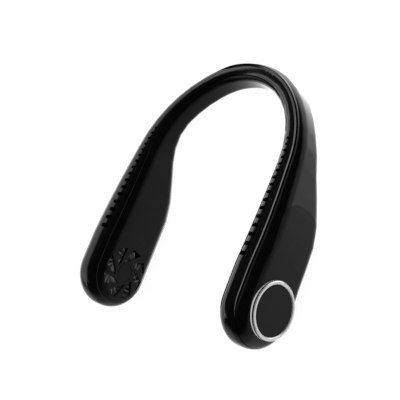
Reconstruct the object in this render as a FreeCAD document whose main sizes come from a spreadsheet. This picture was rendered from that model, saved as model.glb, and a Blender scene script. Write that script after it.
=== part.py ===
import FreeCAD, Part
import math
import os
import re
import PartDesign
import Sketcher
import Spreadsheet
from FreeCAD import Placement, Rotation, Vector

# A bladeless neck fan: a rigid U whose two arms each hold a radial fan, its motor and a battery.
# Three moulded shells make the U: an inner cover on the neck side, a centre frame with the air
# outlets along its top edge, and an outer cover that carries the trim rings and the power button.
#
# Frame: Z up, the arms lie along Y with their tips towards -Y, and the button is on the +X arm.
# The fan stands on the lower edges of its arms, with the origin under the middle of its box.
# In the arm, "run" is the distance from the tip along the inner face, and "depth" the distance
# from the inner face outwards. Both arms are alike, so the +X arm is built and mirrored.
# A size that begins with an equals sign follows from the others, and the rest are free to set.

SIZES = {
    # The U as a whole: a straight paddle, a tapering bend and an even band round the back
    "inner_radius": 58,
    "arm_length": 114,
    "arm_height": 50,
    "arm_thickness": 24.5,
    "band_thickness": 13.5,
    "band_height": 20,
    "top_drop": 8.5,
    "paddle_run": 45,
    "step_start_run": 71,
    "step_end_run": 144,
    "taper_start_run": 57,
    "taper_end_run": 172,
    "corner_share": 0.45,
    "wall": 2,
    "overrun": 4,
    "closeness": 0.001,
    # Seams between the three shells, each with a shadow groove in the centre frame
    "inner_seam_depth": 2.2,
    "outer_seam_share": 0.76,
    "groove_width": 0.6,
    "inlay_depth": 0.8,
    # Fan axis, near the middle of the round tip
    "fan_ahead": 1,
    "fan_drop": 0.8,
    "fan_run": "=arm_height / 2 + fan_ahead",
    "fan_height": "=arm_height / 2 - fan_drop",
    # Air outlets, from the one nearest the fan to the one on the band
    "outlet_count": 16,
    "outlet_ahead": 25,
    "outlet_start_run": "=fan_run + outlet_ahead",
    "outlet_end_run": 128,
    "outlet_spread_share": 0.27,
    "outlet_start_length": 6,
    "outlet_end_length": 2.4,
    "outlet_start_width": 3,
    "outlet_end_width": 1.7,
    "outlet_corner_share": 0.9,
    "outlet_depth_share": 0.39,
    # Pinwheel of slanted openings in the inner cover
    "intake_count": 8,
    "intake_hub_radius": 8.4,
    "intake_margin": 7,
    "intake_outer_radius": "=arm_height / 2 - intake_margin",
    "intake_start": 4,
    "intake_hub_arc": 26,
    "intake_outer_arc": 26,
    "intake_slant": 31,
    "hub_ring_radius": 6.2,
    "hub_ring_width": 0.5,
    "hub_ring_depth": 0.4,
    # Impeller and motor
    "intake_gap": 1.2,
    "impeller_margin": 8,
    "impeller_radius": "=arm_height / 2 - impeller_margin",
    "blade_count": 19,
    "blade_length": 8.4,
    "blade_thickness": 0.8,
    "blade_root_radius": 11.4,
    "blade_sweep": 24,
    "backplate_thickness": 1.2,
    "cup_radius": 9.4,
    "cup_wall": 1.1,
    "nose_thickness": 1.6,
    "magnet_thickness": 1.4,
    "air_gap": 0.4,
    "fit_clearance": 0.02,
    "stator_hub_wall": 1.2,
    "stator_stack": 4,
    "tooth_count": 6,
    "tooth_width": 1.6,
    "coil_width": 3,
    "coil_overhang": 0.6,
    "shaft_radius": 1,
    "running_clearance": 0.03,
    "bearing_radius": 2.2,
    "bearing_length": 5,
    "tube_wall": 0.9,
    "base_gap": 1.6,
    "base_thickness": 1.4,
    "base_radius": 11,
    "lug_count": 3,
    "lug_radius": 15.9,
    "lug_width": 5,
    "lug_corner": 2,
    "boss_radius": 2.2,
    # Screws
    "screw_radius": 0.8,
    "screw_clearance": 0.1,
    "screw_length": 5,
    "screw_head_radius": 1.5,
    "screw_head_height": 1,
    # Guide wall round the tip side of the impeller, with a floor towards the battery
    "guide_gap": 1.4,
    "guide_wall": 1.2,
    "guide_floor": 18,
    "guide_start": 100,
    "guide_turn": 170,
    "seat_clearance": 0.2,
    # Side panel, trim ring, button and cap
    "panel_clearance": 0.12,
    "panel_length": 65,
    "panel_end_run": "=fan_run + panel_length",
    "panel_margin": 8,
    "panel_high": "=arm_height - panel_margin",
    "panel_end_flat": 4,
    "panel_end_radius": "=arm_height / 2 - panel_margin - panel_end_flat",
    "ring_margin": 6.8,
    "ring_width": 2.3,
    "ring_outer_radius": "=arm_height / 2 - ring_margin",
    "ring_inner_radius": "=ring_outer_radius - ring_width",
    "ring_height": 2.2,
    "ring_seat": 0.6,
    "ring_bevel": 0.5,
    "button_clearance": 0.3,
    "button_travel": 0.5,
    "button_float": 0.8,
    "button_thickness": 1.1,
    "button_edge": 0.3,
    "stem_radius": 3,
    "stem_clearance": 0.05,
    # Control board with the switch that the button presses
    "board_thickness": 1.2,
    "board_length": 22,
    "board_width": 20,
    "board_corner": 1,
    "board_screw_reach": 8,
    "board_boss_radius": 1.8,
    "switch_side": 6,
    "switch_height": 1.8,
    "switch_bore_depth": 1.2,
    "plunger_radius": 1.7,
    "plunger_height": 0.6,
    "plunger_sink": 0.6,
    # Charging socket on its own board, in the lower edge of the +X arm
    "charge_board_length": 14,
    "charge_board_height": 20,
    "socket_gap": 0.6,
    "socket_run": "=fan_run + lug_radius + lug_width / 2 + charge_board_length / 2 + socket_gap",
    "socket_length": 9,
    "socket_thickness": 3.2,
    "socket_height": 7.4,
    "socket_corner": 1.4,
    "socket_shell": 0.4,
    "socket_recess": 0.4,
    "socket_depth": 6,
    "tongue_inset": 0.8,
    "tongue_length": 6,
    "tongue_thickness": 0.7,
    # Battery and the cable that links the arms through the band
    "battery_gap": 1,
    "battery_run": "=socket_run + charge_board_length / 2 + battery_gap",
    "battery_length": 36,
    "battery_rise": 1.5,
    "battery_start_depth": 6,
    "battery_thickness": 9,
    "battery_corner": 2,
    "pad_margin": 6.5,
    "cable_thickness": 1,
    "cable_width": 3.6,
    "cable_rise": 0.3,
    "cable_drop": 2.6,
    "cable_overlap": 4,
    "cable_run": "=battery_run + cable_overlap",
}

# Places of the cross-sections, as shares of the arm beyond its paddle and of the tapering bend
ARM_STATION_SHARES = (0, 0.2, 0.4, 0.6, 0.8)
BEND_STATION_SHARES = (0, 1 / 6, 1 / 3, 1 / 2, 2 / 3, 5 / 6, 1)

doc = FreeCAD.newDocument("NeckFan")
sheet = doc.addObject("Spreadsheet::Sheet", "Sizes")
for row, (word, value) in enumerate(SIZES.items(), 1):
    sheet.set(f"A{row}", word)
    sheet.set(f"B{row}", str(value))
    sheet.setAlias(f"B{row}", word)
doc.recompute()


def tied(words):
    """The expression with each size pointing at its cell of the sheet."""
    return re.sub(r"[a-z]\w*", lambda found: f"Sizes.{found[0]}" if found[0] in SIZES else found[0], words)


def mm(words):
    """The value of an expression in the sheet's sizes."""
    return float(sheet.evalExpression(tied(words)))


def tie(thing, **expressions):
    """Bind properties of a document object to expressions in the sheet's sizes."""
    for name, words in expressions.items():
        thing.setExpression(name.replace("__", "."), tied(words))


# Named places, as expressions
ARCH_Y = "(arm_length - inner_radius - band_thickness) / 2"
TIP_Y = f"({ARCH_Y} - arm_length)"
TIP_RADIUS = "arm_height / 2"
FAN_Y = f"({TIP_Y} + fan_run)"
OUTER_FACE = "arm_thickness"
OUTER_WALL = "(arm_thickness - wall)"
BLADE_START = "(wall + intake_gap)"
BLADE_END = f"({BLADE_START} + blade_length)"
BACK_END = f"({BLADE_END} + backplate_thickness)"
BASE_START = f"({BACK_END} + base_gap)"
BASE_END = f"({BASE_START} + base_thickness)"
NOSE_END = f"({BLADE_START} + nose_thickness)"
BUTTON_UNDER = "(arm_thickness + button_float)"
BUTTON_TOP = f"({BUTTON_UNDER} + button_thickness)"
BUTTON_RADIUS = "(ring_inner_radius - button_clearance)"
RING_START = f"({OUTER_FACE} - ring_seat)"
RING_END = f"({OUTER_FACE} + ring_height)"
PLUNGER_TOP = "(arm_thickness - wall - 2 * button_travel - button_float / 2)"
SWITCH_TOP = f"({PLUNGER_TOP} - plunger_height)"
BOARD_TOP = f"({SWITCH_TOP} - switch_height)"
BOARD_START = f"({BOARD_TOP} - board_thickness)"
TUBE_RADIUS = "(bearing_radius + tube_wall)"
STATOR_HUB = f"({TUBE_RADIUS} + stator_hub_wall)"
MAGNET_OUTER = "(cup_radius - cup_wall)"
STATOR_OUTER = f"({MAGNET_OUTER} - magnet_thickness - air_gap)"
STATOR_END = f"({BASE_START} - coil_overhang - air_gap)"
STATOR_START = f"({STATOR_END} - stator_stack)"
SCREW_HOLE = "(screw_radius + screw_clearance / 2)"
SOCKET_START = "(arm_thickness - socket_thickness) / 2"
BATTERY_END = "(battery_start_depth + battery_thickness)"
CABLE_LOW = "(arm_height - top_drop - wall - cable_drop - cable_width)"
BATTERY_HIGH = f"({CABLE_LOW} - cable_rise)"


def ease(share):
    """A smooth step from 0 to 1."""
    share = min(max(share, 0), 1)
    return share * share * (3 - 2 * share)


def between(start, end, share):
    """An expression part of the way from one size to another."""
    return f"({start} + ({end} - {start}) * {share:.6f})"


def angle_at(run):
    """Turn of the path round the band, in radians, at a distance from the +X tip."""
    return max(run - mm("arm_length"), 0) / mm("inner_radius")


def ahead(run):
    """How far along Y the inner face has got, from the centre of the band's half circle."""
    return min(run - mm("arm_length"), 0) + mm("inner_radius") * math.sin(angle_at(run))


def thickness(run):
    """Thickness of the U at a distance from the tip, as an expression."""
    start = mm("taper_start_run")
    return between("arm_thickness", "band_thickness", ease((run - start) / (mm("taper_end_run") - start)))


def top(run):
    """Height of the upper edge, which falls evenly from the paddles to the band."""
    start = ahead(mm("paddle_run"))
    fall = (ahead(min(run, mm("taper_end_run"))) - start) / (ahead(mm("taper_end_run")) - start)
    return f"(arm_height - top_drop * {max(fall, 0):.6f})"


def low(run):
    """Height of the lower edge: level under the arms, then a step up to the band."""
    start = mm("step_start_run")
    share = ease((run - start) / (mm("step_end_run") - start))
    return f"(({top(run)} - band_height) * {share:.6f})"


def bend_runs():
    """Distances of the cross-sections from the tip, from the end of the paddle to the even band."""
    paddle, straight, bend = mm("paddle_run"), mm("arm_length"), mm("taper_end_run")
    runs = [paddle + (straight - paddle) * share for share in ARM_STATION_SHARES]
    return runs + [straight + (bend - straight) * share for share in BEND_STATION_SHARES]


def station(run):
    """Placement of an upright sketch across the +X arm: its axes are the radius and the height."""
    turn = Rotation(Vector(0, 0, 1), math.degrees(angle_at(run)))
    return Placement(Vector(0, mm(ARCH_Y) + min(run - mm("arm_length"), 0), 0),
                     turn.multiply(Rotation(Vector(1, 0, 0), 90)))


# Sketch outlines, each drawn at its size and then bound to the sheet

def hold(sketch, kind, curve, point, words):
    """Hold a point of a curve at a distance from the sketch's axis; zero lies on the axis."""
    value = mm(words)
    if value == 0:
        axis = -2 if kind == "DistanceX" else -1
        sketch.addConstraint(Sketcher.Constraint("PointOnObject", curve, point, axis))
        return
    held = sketch.addConstraint(Sketcher.Constraint(kind, -1, 1, curve, point, value))
    sketch.setExpression(f"Constraints[{held}]", tied(words))


def place_vertex(sketch, curve, point, across, up):
    """Hold a point of a curve at a place given by two expressions."""
    hold(sketch, "DistanceX", curve, point, across)
    hold(sketch, "DistanceY", curve, point, up)


def hold_radius(sketch, curve, words):
    held = sketch.addConstraint(Sketcher.Constraint("Radius", curve, mm(words)))
    sketch.setExpression(f"Constraints[{held}]", tied(words))


def polygon(sketch, corners):
    """A closed outline of straight lines through corners given as pairs of expressions."""
    points = [Vector(mm(across), mm(up), 0) for across, up in corners]
    count = len(points)
    lines = [Part.LineSegment(points[i], points[(i + 1) % count]) for i in range(count)]
    sketch.addGeometry(lines, False)
    for i in range(count):
        sketch.addConstraint(Sketcher.Constraint("Coincident", i, 2, (i + 1) % count, 1))
    for i, (across, up) in enumerate(corners):
        place_vertex(sketch, i, 1, across, up)


def box_corners(left, right, bottom, high):
    return [(left, bottom), (right, bottom), (right, high), (left, high)]


def circle(sketch, across, up, radius):
    centre = Vector(mm(across), mm(up), 0)
    curve = sketch.addGeometry(Part.Circle(centre, Vector(0, 0, 1), mm(radius)), False)
    place_vertex(sketch, curve, 3, across, up)
    hold_radius(sketch, curve, radius)


def smooth_chain(sketch, curves):
    """Add curves end to end, each tangent to the next, and close them."""
    sketch.addGeometry(curves, False)
    count = len(curves)
    for i in range(count):
        sketch.addConstraint(Sketcher.Constraint("Tangent", i, 2, (i + 1) % count, 1))


def arc(across, up, radius, quarter, quarters):
    """An arc about a centre, from a start over a sweep that are counted in quarter turns."""
    start = quarter * math.pi / 2
    whole = Part.Circle(Vector(across, up, 0), Vector(0, 0, 1), radius)
    return Part.ArcOfCircle(whole, start, start + quarters * math.pi / 2)


def rounded(sketch, left, right, bottom, high, radius):
    """A rectangle with four round corners."""
    x0, x1, y0, y1, r = (mm(words) for words in (left, right, bottom, high, radius))
    smooth_chain(sketch, [
        Part.LineSegment(Vector(x0 + r, y0, 0), Vector(x1 - r, y0, 0)),
        arc(x1 - r, y0 + r, r, 3, 1),
        Part.LineSegment(Vector(x1, y0 + r, 0), Vector(x1, y1 - r, 0)),
        arc(x1 - r, y1 - r, r, 0, 1),
        Part.LineSegment(Vector(x1 - r, y1, 0), Vector(x0 + r, y1, 0)),
        arc(x0 + r, y1 - r, r, 1, 1),
        Part.LineSegment(Vector(x0, y1 - r, 0), Vector(x0, y0 + r, 0)),
        arc(x0 + r, y0 + r, r, 2, 1),
    ])
    for kind, curve, words in (("DistanceY", 0, bottom), ("DistanceX", 2, right),
                               ("DistanceY", 4, high), ("DistanceX", 6, left)):
        sketch.addConstraint(Sketcher.Constraint("Vertical" if kind == "DistanceX" else "Horizontal", curve))
        hold(sketch, kind, curve, 1, words)
    for curve in (3, 5, 7):
        sketch.addConstraint(Sketcher.Constraint("Equal", 1, curve))
    hold_radius(sketch, 1, radius)


def bevel_leg(radius):
    """Leg of the flat that touches a round corner of this radius in its middle."""
    return f"(2 - sqrt(2)) * ({radius})"


def bevelled(sketch, left, right, bottom, high, radius):
    """A rectangle with a flat at each corner, lying outside the round corner of that radius."""
    leg = bevel_leg(radius)
    polygon(sketch, [(f"{left} + {leg}", bottom), (f"{right} - {leg}", bottom), (right, f"{bottom} + {leg}"),
                     (right, f"{high} - {leg}"), (f"{right} - {leg}", high), (f"{left} + {leg}", high),
                     (left, f"{high} - {leg}"), (left, f"{bottom} + {leg}")])


def paddle_outline(sketch, inset):
    """Side view of the straight arm: level edges and a half round tip, smaller all round by an inset."""
    end = "paddle_run - fan_run"
    middle = f"{TIP_RADIUS} - fan_run"
    high = f"arm_height - fan_height - {inset}"
    bottom = f"{inset} - fan_height"
    x1, xc, y0, y1 = (mm(words) for words in (end, middle, bottom, high))
    sketch.addGeometry([
        Part.LineSegment(Vector(x1, y1, 0), Vector(xc, y1, 0)),
        arc(xc, (y0 + y1) / 2, (y1 - y0) / 2, 1, 2),
        Part.LineSegment(Vector(xc, y0, 0), Vector(x1, y0, 0)),
        Part.LineSegment(Vector(x1, y0, 0), Vector(x1, y1, 0)),
    ], False)
    for joint in (("Tangent", 0, 2, 1, 1), ("Tangent", 1, 2, 2, 1), ("Coincident", 2, 2, 3, 1),
                  ("Coincident", 3, 2, 0, 1), ("Horizontal", 0), ("Horizontal", 2), ("Vertical", 3)):
        sketch.addConstraint(Sketcher.Constraint(*joint))
    hold(sketch, "DistanceY", 0, 1, high)
    hold(sketch, "DistanceY", 2, 1, bottom)
    hold(sketch, "DistanceX", 3, 1, end)
    hold(sketch, "DistanceX", 1, 3, middle)


# Solids of the document

def boolean(kind, name, base, tool):
    """A cut or a common of two objects."""
    made = doc.addObject(f"Part::{kind}", name)
    made.Base = base
    made.Tool = tool
    return made


def fuse(name, *things):
    made = doc.addObject("Part::MultiFuse", name)
    made.Shapes = list(things)
    return made


def group(name, *things):
    """Separate solids kept in one object."""
    made = doc.addObject("Part::Compound", name)
    made.Links = list(things)
    return made


def mirrored(name, source):
    """The like piece of the -X arm."""
    made = doc.addObject("Part::Mirroring", name)
    made.Source = source
    made.Normal = Vector(1, 0, 0)
    return made


def rod(name, radius, start, end, along="0", up="0"):
    """A cylinder across the +X arm, between two depths, at a place measured from the fan's axis."""
    made = doc.addObject("Part::Cylinder", name)
    made.Placement = Placement(Vector(), Rotation(Vector(0, 1, 0), 90))
    tie(made, Radius=radius, Height=f"{end} - ({start})", Placement__Base__x=f"inner_radius + {start}",
        Placement__Base__y=f"{FAN_Y} + {along}", Placement__Base__z=f"fan_height + {up}")
    return made


# Bodies of the +X arm: X runs outwards from the inner face, and the origin is on the fan's axis

def arm_body(name):
    body = doc.addObject("PartDesign::Body", name)
    tie(body, Placement__Base__x="inner_radius", Placement__Base__y=FAN_Y, Placement__Base__z="fan_height")
    return body


def own(body, role):
    """One of the body's own planes or axes."""
    return next(item for item in body.Origin.OriginFeatures if item.Role == role)


def sketch_on(body, role, name, offset="0"):
    """A sketch on one of the body's own planes, moved along the plane's normal."""
    sketch = body.newObject("Sketcher::SketchObject", name)
    sketch.AttachmentSupport = [(own(body, role), "")]
    sketch.MapMode = "FlatFace"
    tie(sketch, AttachmentOffset__Base__z=offset)
    return sketch


def extrude(body, name, sketch, kind, length):
    made = body.newObject(f"PartDesign::{kind}", name)
    made.Profile = sketch
    tie(made, Length=length)
    return made


def turn(body, name, corners):
    """Revolve an outline of depths and radii about the fan's axis."""
    sketch = sketch_on(body, "XY_Plane", f"{name}_outline")
    polygon(sketch, corners)
    made = body.newObject("PartDesign::Revolution", name)
    made.Profile = sketch
    made.ReferenceAxis = (sketch, ["H_Axis"])
    made.Angle = 360
    return made


def turned(name, corners):
    body = arm_body(name)
    turn(body, f"{name}_turn", corners)
    return body


def around(body, name, feature, count):
    """Repeat a feature about the fan's axis."""
    made = body.newObject("PartDesign::PolarPattern", name)
    made.Originals = [feature]
    made.Axis = (own(body, "X_Axis"), [""])
    made.Angle = 360
    tie(made, Occurrences=count)
    body.Tip = made
    return made


def polar(radius, degrees, aside="0"):
    """A place at a radius and an angle, moved aside square to the radius."""
    return (f"({radius}) * cos({degrees}) - ({aside}) * sin({degrees})",
            f"({radius}) * sin({degrees}) + ({aside}) * cos({degrees})")


def block(name, start, end, left, right, bottom, high, radius):
    """A slab across the arm with round corners, placed from the fan's axis."""
    body = arm_body(name)
    sketch = sketch_on(body, "YZ_Plane", f"{name}_outline", start)
    rounded(sketch, left, right, bottom, high, radius)
    extrude(body, f"{name}_pad", sketch, "Pad", f"{end} - ({start})")
    return body


# Solids that follow the U

def paddle(name, inset, edge):
    """The straight arm with its tip, with round or flat edges all along the side view."""
    body = arm_body(name)
    sketch = sketch_on(body, "YZ_Plane", f"{name}_outline", inset)
    paddle_outline(sketch, inset)
    pad = extrude(body, f"{name}_pad", sketch, "Pad", f"arm_thickness - 2 * ({inset})")
    doc.recompute()
    rim = [f"Edge{i}" for i, line in enumerate(pad.Shape.Edges, 1)
           if line.BoundBox.XLength < mm("closeness") < line.BoundBox.YLength]
    made = body.newObject(f"PartDesign::{edge}", f"{name}_edges")
    made.Base = (pad, rim)
    radius = f"corner_share * arm_thickness - ({inset})"
    if edge == "Fillet":
        tie(made, Radius=radius)
    else:
        tie(made, Size=bevel_leg(radius))
    body.Tip = made
    return body


def follow(name, outline, runs):
    """Both bends and the even band, from an outline drawn at each run: the bends ruled, the band turned."""
    sections = []
    for i, run in enumerate(runs):
        sketch = doc.addObject("Sketcher::SketchObject", f"{name}_section_{i}")
        sketch.Placement = station(run)
        outline(sketch, run)
        sections.append(sketch)
    bend = doc.addObject("Part::Loft", f"{name}_bend")
    bend.Sections = sections
    bend.Solid = True
    bend.Ruled = True
    band = doc.addObject("Part::Revolution", f"{name}_band")
    band.Source = sections[-1]
    band.Axis = Vector(0, 0, 1)
    band.Solid = True
    tie(band, Base__y=ARCH_Y, Angle="180 - 360 / pi * (taper_end_run - arm_length) / inner_radius")
    return [bend, mirrored(f"{name}_other_bend", bend), band]


def hull(name, inset, corner, edge):
    """The whole U as one solid, smaller all round by an inset."""
    def outline(sketch, run):
        thick = thickness(run)
        corner(sketch, f"inner_radius + {inset}", f"inner_radius + {thick} - {inset}", f"{low(run)} + {inset}",
               f"{top(run)} - {inset}", f"corner_share * {thick} - {inset}")

    arm = paddle(f"{name}_paddle", inset, edge)
    return fuse(name, arm, mirrored(f"{name}_other_paddle", arm), *follow(name, outline, bend_runs()))


def curtain(name, start, end):
    """A tall wall that follows the U between two depths, which are functions of the thickness."""
    def outline(sketch, run):
        thick = thickness(run)
        polygon(sketch, box_corners(f"inner_radius + {start(thick)}", f"inner_radius + {end(thick)}",
                                    "-overrun", "arm_height + overrun"))

    return fuse(name, *follow(name, outline, [mm("-overrun")] + bend_runs()))


def neck_block(name, grow):
    """The space between the arms, grown outwards: a half round with a straight block towards the tips."""
    disc = doc.addObject("Part::Cylinder", f"{name}_disc")
    tie(disc, Radius=f"inner_radius + {grow}", Height="arm_height + 2 * overrun",
        Placement__Base__y=ARCH_Y, Placement__Base__z="-overrun")
    straight = doc.addObject("Part::Box", f"{name}_block")
    tie(straight, Length=f"2 * (inner_radius + {grow})", Width="arm_length + overrun",
        Height="arm_height + 2 * overrun", Placement__Base__x=f"-(inner_radius + {grow})",
        Placement__Base__y=f"{TIP_Y} - overrun", Placement__Base__z="-overrun")
    return fuse(name, disc, straight)


# The three shells

skin = hull("hull", "0", rounded, "Fillet")
bed = hull("bed", "inlay_depth", rounded, "Fillet")
hollow = hull("hollow", "wall", bevelled, "Chamfer")
shell = boolean("Cut", "shell", skin, hollow)
outside = curtain("outside", lambda thick: f"outer_seam_share * {thick}", lambda thick: f"{thick} + overrun")
neck_side = neck_block("neck_side", "inner_seam_depth")


def outlets():
    """Cutters for the row of outlets, which shrink and close up towards the band."""
    cutters = []
    count = int(mm("outlet_count"))
    for i in range(count):
        share = i / (count - 1)
        spread_share = share * (1 + mm("outlet_spread_share") * (1 - share))
        run = mm(between("outlet_start_run", "outlet_end_run", spread_share))
        reach = mm(f"inner_radius + outlet_depth_share * {thickness(run)}")
        angle = angle_at(run)
        sketch = doc.addObject("Sketcher::SketchObject", f"outlet_outline_{i}")
        sketch.Placement = Placement(
            Vector(reach * math.cos(angle), station(run).Base.y + reach * math.sin(angle), mm(f"{top(run)} / 2")),
            Rotation(Vector(0, 0, 1), math.degrees(angle)))
        half_length = f"{between('outlet_start_length', 'outlet_end_length', share)} / 2"
        half_width = f"{between('outlet_start_width', 'outlet_end_width', share)} / 2"
        bevelled(sketch, f"-{half_length}", half_length, f"-{half_width}", half_width,
                 f"outlet_corner_share * {half_width}")
        cutter = doc.addObject("Part::Extrusion", f"outlet_cutter_{i}")
        cutter.Base = sketch
        cutter.DirMode = "Normal"
        cutter.Solid = True
        tie(cutter, LengthFwd="arm_height / 2 + overrun")
        cutters.append(cutter)
    return group("outlet_cutters", *cutters)


def socket_mouth():
    """Cutter for the charging socket's mouth in the lower edge."""
    gap = "2 * seat_clearance"
    mouth = doc.addObject("Part::Box", "socket_mouth")
    tie(mouth, Length=f"socket_thickness + {gap}", Width=f"socket_length + {gap}", Height="wall + 2 * overrun",
        Placement__Base__x=f"inner_radius + {SOCKET_START} - seat_clearance",
        Placement__Base__y=f"{TIP_Y} + socket_run - (socket_length + {gap}) / 2", Placement__Base__z="-overrun")
    return mouth


def centre_frame():
    """The strip between the covers, with shadow grooves at the seams, outlets and the socket's mouth."""
    strip = boolean("Cut", "strip", boolean("Cut", "strip_and_inner", shell, outside), neck_side)
    outer_groove = curtain("outer_groove", lambda thick: f"outer_seam_share * {thick} - groove_width",
                           lambda thick: f"outer_seam_share * {thick} + groove_width")
    inner_groove = neck_block("inner_groove", "inner_seam_depth + groove_width")
    grooves = boolean("Cut", "grooves", fuse("groove_rings", outer_groove, inner_groove), bed)
    grooved = boolean("Cut", "grooved_strip", strip, grooves)
    slots = outlets()
    cutters = group("frame_cutters", slots, mirrored("other_outlet_cutters", slots), socket_mouth())
    return boolean("Cut", "centre_frame", grooved, cutters)


def inner_cover():
    """The neck-side shell, with a pinwheel of slanted openings round a hub with a ring line."""
    plate = boolean("Common", "inner_plate", shell, neck_side)
    tool = arm_body("intake_tool")
    sketch = sketch_on(tool, "YZ_Plane", "intake_outline", "-overrun")
    low_edge = "intake_start - intake_slant"
    polygon(sketch, [polar("intake_hub_radius", "intake_start"), polar("intake_outer_radius", low_edge),
                     polar("intake_outer_radius", f"{low_edge} + intake_outer_arc"),
                     polar("intake_hub_radius", "intake_start + intake_hub_arc")])
    first = extrude(tool, "intake_pad", sketch, "Pad", "wall + 2 * overrun")
    around(tool, "intake_ring", first, "intake_count")
    line = boolean("Cut", "hub_ring_line",
                   rod("hub_ring_disc", "hub_ring_radius + hub_ring_width / 2", "-overrun", "hub_ring_depth"),
                   rod("hub_ring_core", "hub_ring_radius - hub_ring_width / 2", "-2 * overrun", "wall"))
    cuts = group("intake_cuts", tool, line)
    return boolean("Cut", "inner_cover", plate, group("both_intake_cuts", cuts, mirrored("other_intake_cuts", cuts)))


LUG_PLACES = [polar("lug_radius", f"90 + {i} * 360 / lug_count") for i in range(int(mm("lug_count")))]
BOARD_SCREW_PLACES = [("board_screw_reach", "0"), ("-board_screw_reach", "0")]


def drilled_bosses(name, radius, seat, start, places):
    """Bosses inside the outer wall, and the cutters of their screw holes."""
    bosses = [rod(f"{name}_{i}", radius, start, f"{OUTER_WALL} + wall / 2", *place)
              for i, place in enumerate(places)]
    holes = [rod(f"{name}_hole_{i}", SCREW_HOLE, seat, f"{seat} + screw_length + screw_clearance", *place)
             for i, place in enumerate(places)]
    return bosses, holes


def panel_prism(name, shrink):
    """The side panel's outline carried across the outer face, from under the ring to its round back end."""
    return block(name, "arm_thickness / 2", "arm_thickness + overrun", f"-panel_end_radius + {shrink}",
                 f"panel_end_run - fan_run - {shrink}", f"panel_margin - fan_height + {shrink}",
                 f"panel_high - fan_height - {shrink}", f"panel_end_radius - {shrink}")


def outer_cover():
    """The outer shell, with ring seats, panel recesses, the button's hole and the bosses inside."""
    half_shell = boolean("Common", "outer_shell", shell, outside)
    motor_bosses, motor_holes = drilled_bosses("motor_boss", "boss_radius", BASE_START, BASE_END, LUG_PLACES)
    board_bosses, board_holes = drilled_bosses("board_boss", "board_boss_radius", BOARD_START, BOARD_TOP,
                                               BOARD_SCREW_PLACES)
    both = group("both_arm_solids", *motor_bosses)
    solid = fuse("outer_solid", half_shell, both, mirrored("other_arm_solids", both), *board_bosses)
    rebate = boolean("Cut", "ring_rebate",
                     rod("rebate_disc", "ring_outer_radius + seat_clearance", RING_START, f"{RING_END} + overrun"),
                     rod("rebate_core", "ring_inner_radius - seat_clearance", OUTER_WALL, f"{RING_END} + 2 * overrun"))
    recess = boolean("Cut", "panel_recess", panel_prism("recess_prism", "0"), bed)
    ring_keep = rod("ring_keep", "ring_outer_radius", "arm_thickness / 3", f"{RING_END} + 2 * overrun")
    cuts = group("both_arm_cuts", rebate, boolean("Cut", "recess_round_ring", recess, ring_keep), *motor_holes)
    stem_hole = rod("stem_hole", "stem_radius + stem_clearance", f"{OUTER_WALL} - wall", f"{OUTER_FACE} + overrun")
    cutters = group("outer_cutters", cuts, mirrored("other_arm_cuts", cuts), stem_hole, *board_holes)
    return boolean("Cut", "outer_cover", solid, cutters)


def side_panel():
    """The satin inlay: a slice of the skin inside the panel's outline, cut round the trim ring."""
    slice_of_skin = boolean("Common", "panel_slice", skin, panel_prism("panel_prism", "panel_clearance"))
    inlay = boolean("Cut", "panel_inlay", slice_of_skin, bed)
    ring_room = rod("panel_ring_room", "ring_outer_radius + panel_clearance", "arm_thickness / 3",
                    f"{RING_END} + overrun")
    return boolean("Cut", "right_side_panel", inlay, ring_room)


# Fan and motor

def impeller():
    """Hub cup, backplate and a ring of slanted blades that stand on it towards the intake."""
    body = arm_body("right_impeller")
    bore = "shaft_radius + fit_clearance"
    turn(body, "impeller_hub", [
        (BLADE_START, bore), (BLADE_START, MAGNET_OUTER), (f"{BLADE_START} + cup_wall", "cup_radius"),
        (BLADE_END, "cup_radius"), (BLADE_END, "impeller_radius"), (BACK_END, "impeller_radius"),
        (BACK_END, MAGNET_OUTER), (NOSE_END, MAGNET_OUTER), (NOSE_END, bore)])
    sketch = sketch_on(body, "YZ_Plane", "blade_outline", BLADE_START)
    half = "blade_thickness / 2"
    polygon(sketch, [
        polar("blade_root_radius", "0", f"-{half}"), polar("impeller_radius", "blade_sweep", f"-{half}"),
        polar("impeller_radius", "blade_sweep", half), polar("blade_root_radius", "0", half)])
    blade = extrude(body, "blade", sketch, "Pad", "blade_length + backplate_thickness / 2")
    around(body, "blade_ring", blade, "blade_count")
    return body


def motor_base():
    """Base disc with the bearing tube and three screw lugs."""
    body = arm_body("right_motor_base")
    bore = "bearing_radius + fit_clearance"
    tube_start = f"{NOSE_END} + air_gap"
    turn(body, "base_turn", [
        (tube_start, bore), (tube_start, TUBE_RADIUS), (BASE_START, TUBE_RADIUS), (BASE_START, "base_radius"),
        (BASE_END, "base_radius"), (BASE_END, "0"), (BASE_START, "0"), (BASE_START, bore)])
    sketch = sketch_on(body, "YZ_Plane", "lug_outline", BASE_START)
    rounded(sketch, "-lug_width / 2", "lug_width / 2", "base_radius / 2", "lug_radius + lug_width / 2", "lug_corner")
    circle(sketch, "0", "lug_radius", SCREW_HOLE)
    lug = extrude(body, "lug", sketch, "Pad", "base_thickness")
    around(body, "lug_ring", lug, "lug_count")
    return body


def stator():
    """Laminated core on the bearing tube: a hub with teeth."""
    body = arm_body("right_stator")
    turn(body, "stator_hub", box_corners(STATOR_START, STATOR_END, f"{TUBE_RADIUS} + fit_clearance", STATOR_HUB))
    sketch = sketch_on(body, "YZ_Plane", "tooth_outline", STATOR_START)
    polygon(sketch, box_corners("-tooth_width / 2", "tooth_width / 2", f"{STATOR_HUB} - stator_hub_wall / 2",
                                STATOR_OUTER))
    tooth = extrude(body, "tooth", sketch, "Pad", "stator_stack")
    around(body, "tooth_ring", tooth, "tooth_count")
    return body


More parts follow.
